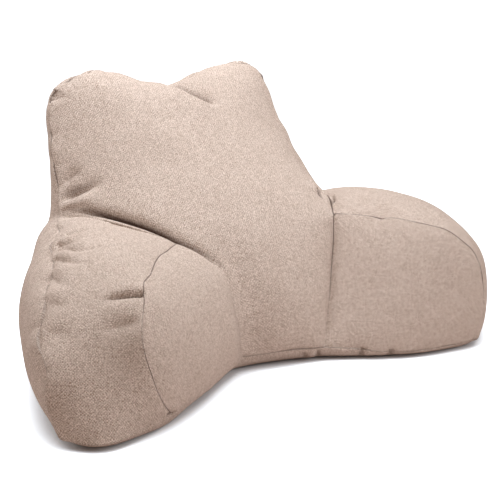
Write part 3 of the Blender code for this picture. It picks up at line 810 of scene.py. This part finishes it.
def heatheredLinen():
    material = bpy.data.materials.new("heatheredLinen")
    material.use_nodes = True
    tree = material.node_tree
    shader = tree.nodes["Principled BSDF"]
    patterns = ("thread", "strayOver", "slub", "fleck", "blotch", "fuzz")
    perMetre = {name: 1000 / linenCloth[name] for name in patterns}
    plane = {"noise_dimensions": "2D"}

    # which warp and which weft thread each place is on, and whether the weft is on top there
    flat = addNode(tree, "UVMap", {"uv_map": "UVMap"}).outputs["UV"]
    straight = addNode(tree, "VectorMath", {"operation": "SCALE"},
                       {"Scale": perMetre["thread"]}, {0: flat}).outputs["Vector"]
    drift = addNode(tree, "TexNoise", plane,
                    {"Scale": perMetre["strayOver"], "Detail": 1.0}, {"Vector": flat}).outputs["Color"]
    inThreads = addNode(tree, "VectorMath", {"operation": "MULTIPLY_ADD"},
                        {1: (linenCloth["stray"],) * 3}, {0: drift, 2: straight}).outputs["Vector"]
    crossing = addNode(tree, "VectorMath", {"operation": "FLOOR"}, links={0: inThreads})
    count = addNode(tree, "SeparateXYZ", links={0: crossing.outputs["Vector"]}).outputs
    length = addNode(tree, "SeparateXYZ", links={0: flat}).outputs
    together = addNode(tree, "Math", {"operation": "ADD"}, links={0: count["X"], 1: count["Y"]})
    weftOnTop = addNode(tree, "Math", {"operation": "FLOORED_MODULO"},
                        {1: 2.0}, {0: together.outputs[0]}).outputs[0]

    def threadTint(thread, along, apart):
        # one thread's own tint, which drifts along it
        number = addNode(tree, "Math", {"operation": "MULTIPLY"}, {1: linenCloth[apart]}, {0: count[thread]})
        slubs = addNode(tree, "Math", {"operation": "MULTIPLY"}, {1: perMetre["slub"]}, {0: length[along]})
        place = addNode(tree, "CombineXYZ", links={"X": number.outputs[0], "Y": slubs.outputs[0]})
        return addNode(tree, "TexNoise", plane,
                       {"Scale": 1.0, "Detail": 2.0}, {"Vector": place.outputs[0]}).outputs["Fac"]

    tint = addNode(tree, "Mix", links={
        "Factor": weftOnTop, "A": threadTint("X", "Y", "warpApart"),
        "B": threadTint("Y", "X", "weftApart")}).outputs["Result"]
    inFlecks = addNode(tree, "VectorMath", {"operation": "SCALE"},
                       {"Scale": perMetre["fleck"]}, {0: flat}).outputs["Vector"]
    cells = addNode(tree, "VectorMath", {"operation": "FLOOR"}, links={0: inFlecks})
    fleck = addNode(tree, "TexWhiteNoise", plane, links={"Vector": cells.outputs["Vector"]})
    blotch = addNode(tree, "TexNoise", plane, {"Scale": perMetre["blotch"], "Detail": 3.0}, {"Vector": flat})

    # each of these makes a place darker or lighter than the middle
    shares = {"weftShare": weftOnTop, "slubShare": tint,
              "fleckShare": fleck.outputs["Value"], "blotchShare": blotch.outputs["Fac"]}
    total = addNode(tree, "Value").outputs[0]
    total.default_value = 0.5 - sum(linenCloth[share] for share in shares) / 2
    for share, source in shares.items():
        total = addNode(tree, "Math", {"operation": "MULTIPLY_ADD"},
                        {1: linenCloth[share]}, {0: source, 2: total}).outputs[0]
    ramp = addNode(tree, "ValToRGB", links={"Fac": total})
    ramp.color_ramp.elements[0].color = linearOf(linenCloth["dark"])
    ramp.color_ramp.elements[1].color = linearOf(linenCloth["light"])
    ramp.color_ramp.elements.new(0.5).color = linearOf(linenCloth["middle"])
    pinkness = addNode(tree, "Math", {"operation": "MULTIPLY"}, {1: linenCloth["pinkShare"]}, {0: tint})
    yarn = addNode(tree, "Mix", {"data_type": "RGBA"}, {"B": linearOf(linenCloth["pink"])},
                   {"Factor": pinkness.outputs[0], "A": ramp.outputs["Color"]})

    # painted shade: a thin dark line for the shadow in a plain seam's gap, and shade painted inside closed
    # folds
    away = addNode(tree, "Attribute", {"attribute_name": "seamDistance"}).outputs["Fac"]
    strength = addNode(tree, "Attribute", {"attribute_name": "seamPaintedShade"}).outputs["Fac"]
    close = addNode(tree, "MapRange", {"interpolation_type": "SMOOTHSTEP"},
                    {"From Min": 0.0, "From Max": linenCloth["paintedSeamShadeWidth"] / 1000,
                     "To Min": linenCloth["paintedSeamShadeDark"], "To Max": 0.0}, {"Value": away}).outputs["Result"]
    inSeamShade = addNode(tree, "Math", {"operation": "MULTIPLY"}, links={0: close, 1: strength})
    inFoldShade = addNode(tree, "Attribute", {"attribute_name": "foldPaintedShade"}).outputs["Fac"]
    paintedShadeShare = addNode(tree, "Math", {"operation": "MAXIMUM"}, links={0: inSeamShade.outputs[0], 1: inFoldShade})
    colour = addNode(tree, "Mix", {"data_type": "RGBA"}, {"B": linearOf(linenCloth["paintedShadeColour"])},
                     {"Factor": paintedShadeShare.outputs[0], "A": yarn.outputs["Result"]})
    tree.links.new(colour.outputs["Result"], shader.inputs["Base Color"])

    # each thread is a round ridge that stands up where it crosses over the other
    turns = addNode(tree, "VectorMath", {"operation": "SCALE"}, {"Scale": math.pi}, {0: inThreads})
    waves = addNode(tree, "VectorMath", {"operation": "SINE"},
                    links={0: turns.outputs["Vector"]}).outputs["Vector"]
    ridges = addNode(tree, "VectorMath", {"operation": "ABSOLUTE"}, links={0: waves})
    wave = addNode(tree, "SeparateXYZ", links={0: waves}).outputs
    ridge = addNode(tree, "SeparateXYZ", links={0: ridges.outputs["Vector"]}).outputs
    flip = addNode(tree, "Math", {"operation": "MULTIPLY"}, links={0: wave["X"], 1: wave["Y"]})
    warpUp = addNode(tree, "Math", {"operation": "MULTIPLY_ADD"},
                     {1: 0.5, 2: 0.5}, {0: flip.outputs[0]}).outputs[0]
    height = addNode(tree, "Mix", links={"Factor": warpUp, "A": ridge["Y"], "B": ridge["X"]})
    fuzz = addNode(tree, "TexNoise", plane, {"Scale": perMetre["fuzz"], "Detail": 2.0}, {"Vector": flat})
    surface = addNode(tree, "Math", {"operation": "MULTIPLY_ADD"}, {1: linenCloth["fuzzShare"]},
                      {0: fuzz.outputs["Fac"], 2: height.outputs["Result"]})
    bump = addNode(tree, "Bump", inputs={"Distance": linenCloth["relief"] / 1000},
                   links={"Height": surface.outputs[0]})
    tree.links.new(bump.outputs["Normal"], shader.inputs["Normal"])

    dull = addNode(tree, "MapRange", links={"Value": tint},
                   inputs={"To Min": linenCloth["dullest"], "To Max": linenCloth["smoothest"]})
    tree.links.new(dull.outputs["Result"], shader.inputs["Roughness"])
    shader.inputs["Specular IOR Level"].default_value = linenCloth["specular"]
    shader.inputs["Sheen Weight"].default_value = linenCloth["sheen"]
    shader.inputs["Sheen Roughness"].default_value = linenCloth["sheenRoughness"]
    shader.inputs["Sheen Tint"].default_value = linearOf(linenCloth["sheenTint"])
    return material


cover.data.materials.clear()
cover.data.materials.append(heatheredLinen())

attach(cover, "root")
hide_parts("backrest", "arm_left", "arm_right")

# A white studio: a pale floor, with round softboxes close overhead, in front, and behind on the left
studio = {
    "floorColour": "e6edf4",
    "bounceColour": "d8ccc8",  # what the floor throws back onto the pillow
    # the floor's glow, for the camera only, is painted light, and its cut near the pillow paints the contact
    # shadow
    "glow": 1.2,               # exposes the floor past white, but less so the more the pillow hangs over it
    "glowReach": 0.08,         # how near the pillow has to be for that
    "glowFrom": 0.22,          # the open share of the sky at which the glow starts,
    "glowTo": 0.68,            # and at which it is whole
    "floorHalf": 60.0,
    "worldColour": "ffe4d0",
    "worldStrength": 0.36,
    "seenColour": "ffffff",    # what the camera sees past the floor
    "seenStrength": 1.0,
    "boxSize": 1.2,
    "aim": (0.0, 0.0, 0.15),
    "boxes": {                 # place and watts
        "overheadSoftbox": ((0.0, 0.1, 1.3), 14.5),
        "frontSoftbox": ((0.9, -1.8, 1.1), 13.5),
        "backSoftbox": ((-1.4, 1.6, 0.9), 10.0),
    },
}


def paleFloorGlowWithPaintedShadow():
    # matt white floor that the camera alone sees glowing past white, which gives the eye an even white
    material = bpy.data.materials.new("paleFloorGlowWithPaintedShadow")
    material.use_nodes = True
    tree = material.node_tree
    shader = tree.nodes["Principled BSDF"]
    seen = addNode(tree, "LightPath").outputs["Is Camera Ray"]
    # the camera sees a cool colour, which shows only in the painted shadow; what bounces onto the pillow is
    # warm
    colour = addNode(tree, "Mix", {"data_type": "RGBA"},
                     {"A": linearOf(studio["bounceColour"]), "B": linearOf(studio["floorColour"])},
                     {"Factor": seen})
    # the glow is cut where the pillow is near: this paints the narrow shadow at the contact, over the real
    # one
    sky = addNode(tree, "AmbientOcclusion", inputs={"Distance": studio["glowReach"]})
    glowOutsidePaintedShadow = addNode(tree, "MapRange", {"interpolation_type": "SMOOTHSTEP"},
                    {"From Min": studio["glowFrom"], "From Max": studio["glowTo"],
                     "To Min": 0.0, "To Max": studio["glow"]}, {"Value": sky.outputs["AO"]})
    glow = addNode(tree, "Math", {"operation": "MULTIPLY"}, links={0: seen, 1: glowOutsidePaintedShadow.outputs["Result"]})
    tree.links.new(colour.outputs["Result"], shader.inputs["Base Color"])
    tree.links.new(glow.outputs[0], shader.inputs["Emission Strength"])
    shader.inputs["Emission Color"].default_value = linearOf(studio["floorColour"])
    shader.inputs["Roughness"].default_value = 1.0
    shader.inputs["Specular IOR Level"].default_value = 0.0
    return material


def makeStudio():
    bm = bmesh.new()
    bmesh.ops.create_grid(bm, x_segments=1, y_segments=1, size=studio["floorHalf"])
    mesh = bpy.data.meshes.new("paleFloor")
    bm.to_mesh(mesh)
    bm.free()
    floor = bpy.data.objects.new("paleFloor", mesh)
    scene.collection.objects.link(floor)
    mesh.materials.append(paleFloorGlowWithPaintedShadow())

    world = bpy.data.worlds.new("studioWorld")
    scene.world = world
    world.use_nodes = True
    tree = world.node_tree
    background = tree.nodes["Background"]
    seen = addNode(tree, "LightPath").outputs["Is Camera Ray"]
    colour = addNode(tree, "Mix", {"data_type": "RGBA"},
                     {"A": linearOf(studio["worldColour"]), "B": linearOf(studio["seenColour"])},
                     {"Factor": seen})
    strength = addNode(tree, "MapRange", links={"Value": seen},
                       inputs={"To Min": studio["worldStrength"], "To Max": studio["seenStrength"]})
    tree.links.new(colour.outputs["Result"], background.inputs["Color"])
    tree.links.new(strength.outputs["Result"], background.inputs["Strength"])

    for name, (place, watts) in studio["boxes"].items():
        panel = bpy.data.lights.new(name, "AREA")
        panel.shape = "DISK"
        panel.size = studio["boxSize"]
        panel.energy = watts
        box = bpy.data.objects.new(name, panel)
        box.location = place
        box.rotation_euler = (Vector(studio["aim"]) - box.location).to_track_quat("-Z", "Y").to_euler()
        box.visible_camera = False
        scene.collection.objects.link(box)


# The camera stands where it did for the photo, to the pillow's front left and a little above it
camera = {
    "place": (-1.1744, -1.5960, 0.6011),  # from the drafting mark
    "aim": (0.0397, -0.0308, 0.1438),
    "lens": 93.3,
    "sensor": 36.0,
}


def makeCamera():
    lens = bpy.data.cameras.new("photoCamera")
    lens.lens, lens.sensor_width = camera["lens"], camera["sensor"]
    made = bpy.data.objects.new("photoCamera", lens)
    made.location = Vector(camera["place"]) + Vector(centring)
    look = Vector(camera["aim"]) - Vector(camera["place"])
    made.rotation_euler = look.to_track_quat("-Z", "Y").to_euler()
    scene.collection.objects.link(made)
    scene.camera = made


makeStudio()
makeCamera()
scene.view_settings.view_transform = "Standard"
print("studio: floor, light and camera are in place")

bpy.context.view_layer.update()
